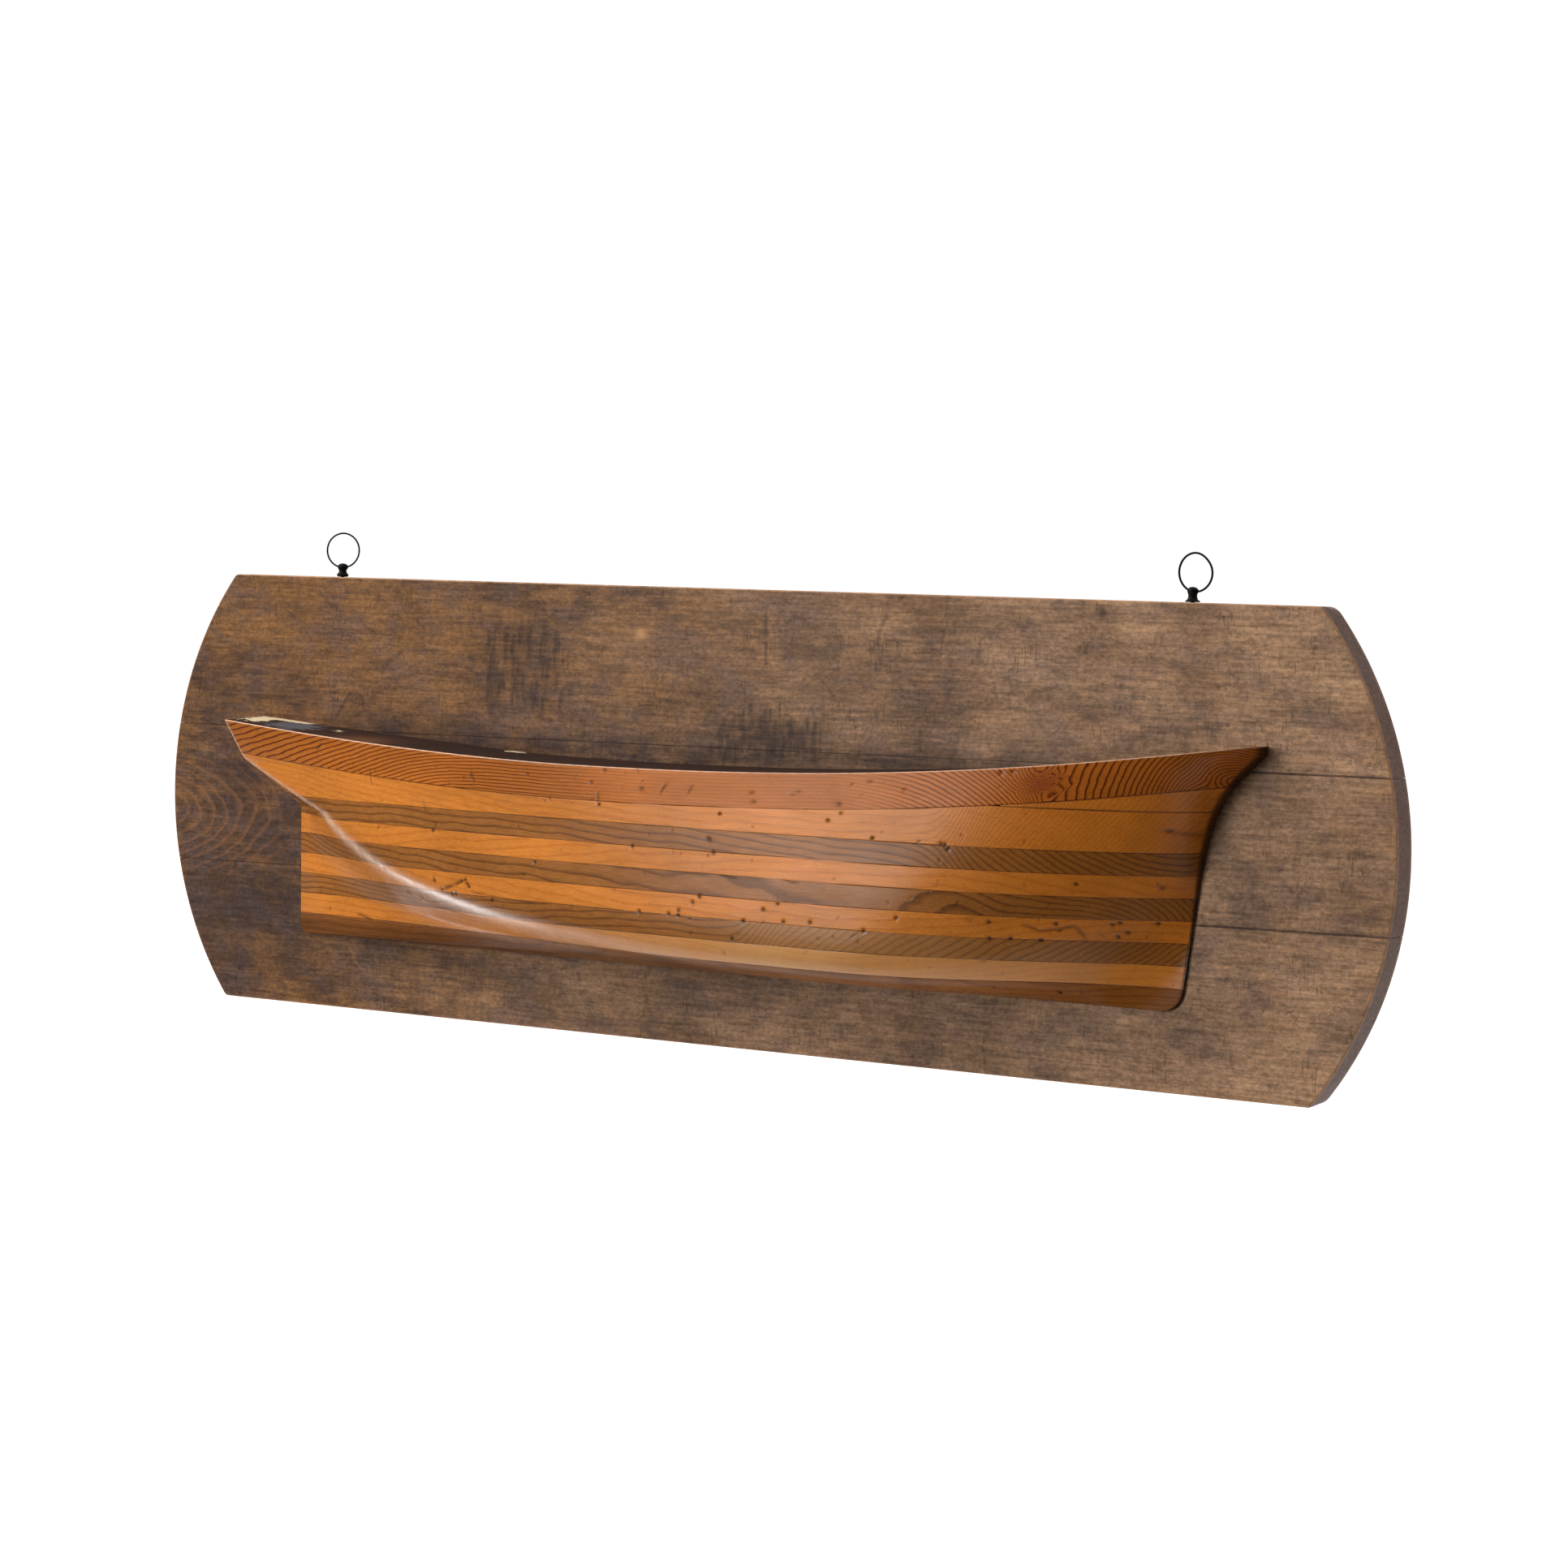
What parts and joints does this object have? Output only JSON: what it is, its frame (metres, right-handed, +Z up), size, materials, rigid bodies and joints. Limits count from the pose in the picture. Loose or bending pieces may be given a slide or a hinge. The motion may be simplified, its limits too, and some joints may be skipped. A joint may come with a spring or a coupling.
{
  "type": "ship half hull model",
  "caption": "Half hull of a sailing ship built of horizontal wooden lifts, fixed to a round-ended plank board that hangs by wire rings in turned screw posts.",
  "frame": {"origin": "middle of the board's back, in the wall plane; the height middle is half way up the board", "axes": "+Y into the wall, so the hull faces -Y; +X along the board to the viewer's right, towards the bow; +Z up"},
  "size_m": [1.133, 0.1238, 0.3933],
  "materials": {
    "board": "satin, dark brown stain, worn",
    "keel_lift": "glossy varnish, brown",
    "pale_lift": "glossy varnish, orange brown",
    "dark_lift": "glossy varnish, olive brown",
    "sheer_lift": "glossy varnish, strong pine grain",
    "hanger_metal": "dark brown patina"
  },
  "bodies": {
    "board_and_hull": {"board_upper": "board", "board_middle": "board", "board_lower": "board", "hull_lift_1": "keel_lift", "hull_lift_2": "pale_lift", "hull_lift_3": "dark_lift", "hull_lift_4": "pale_lift", "hull_lift_5": "dark_lift", "hull_lift_6": "pale_lift", "hull_lift_7": "dark_lift", "hull_lift_8": "pale_lift", "hull_bow_wedge": "pale_lift", "hull_sheer_lift": "sheer_lift", "hanger_post_left": "hanger_metal", "hanger_post_right": "hanger_metal"},
    "ring_left": {"hanger_ring_left": "hanger_metal"},
    "ring_right": {"hanger_ring_right": "hanger_metal"}
  },
  "joints": [
    {"name": "ring_left_swing", "type": "hinge", "parent": "board_and_hull", "child": "ring_left", "pos_m": [-0.3985, -0.0127, 0.1864], "axis": [0.9563, 0.2924, 0], "range_deg": [-112, 112]},
    {"name": "ring_right_swing", "type": "hinge", "parent": "board_and_hull", "child": "ring_right", "pos_m": [0.3945, -0.0127, 0.1864], "axis": [0.9845, -0.0792, -0.1564], "range_deg": [-104, 104]}
  ]
}
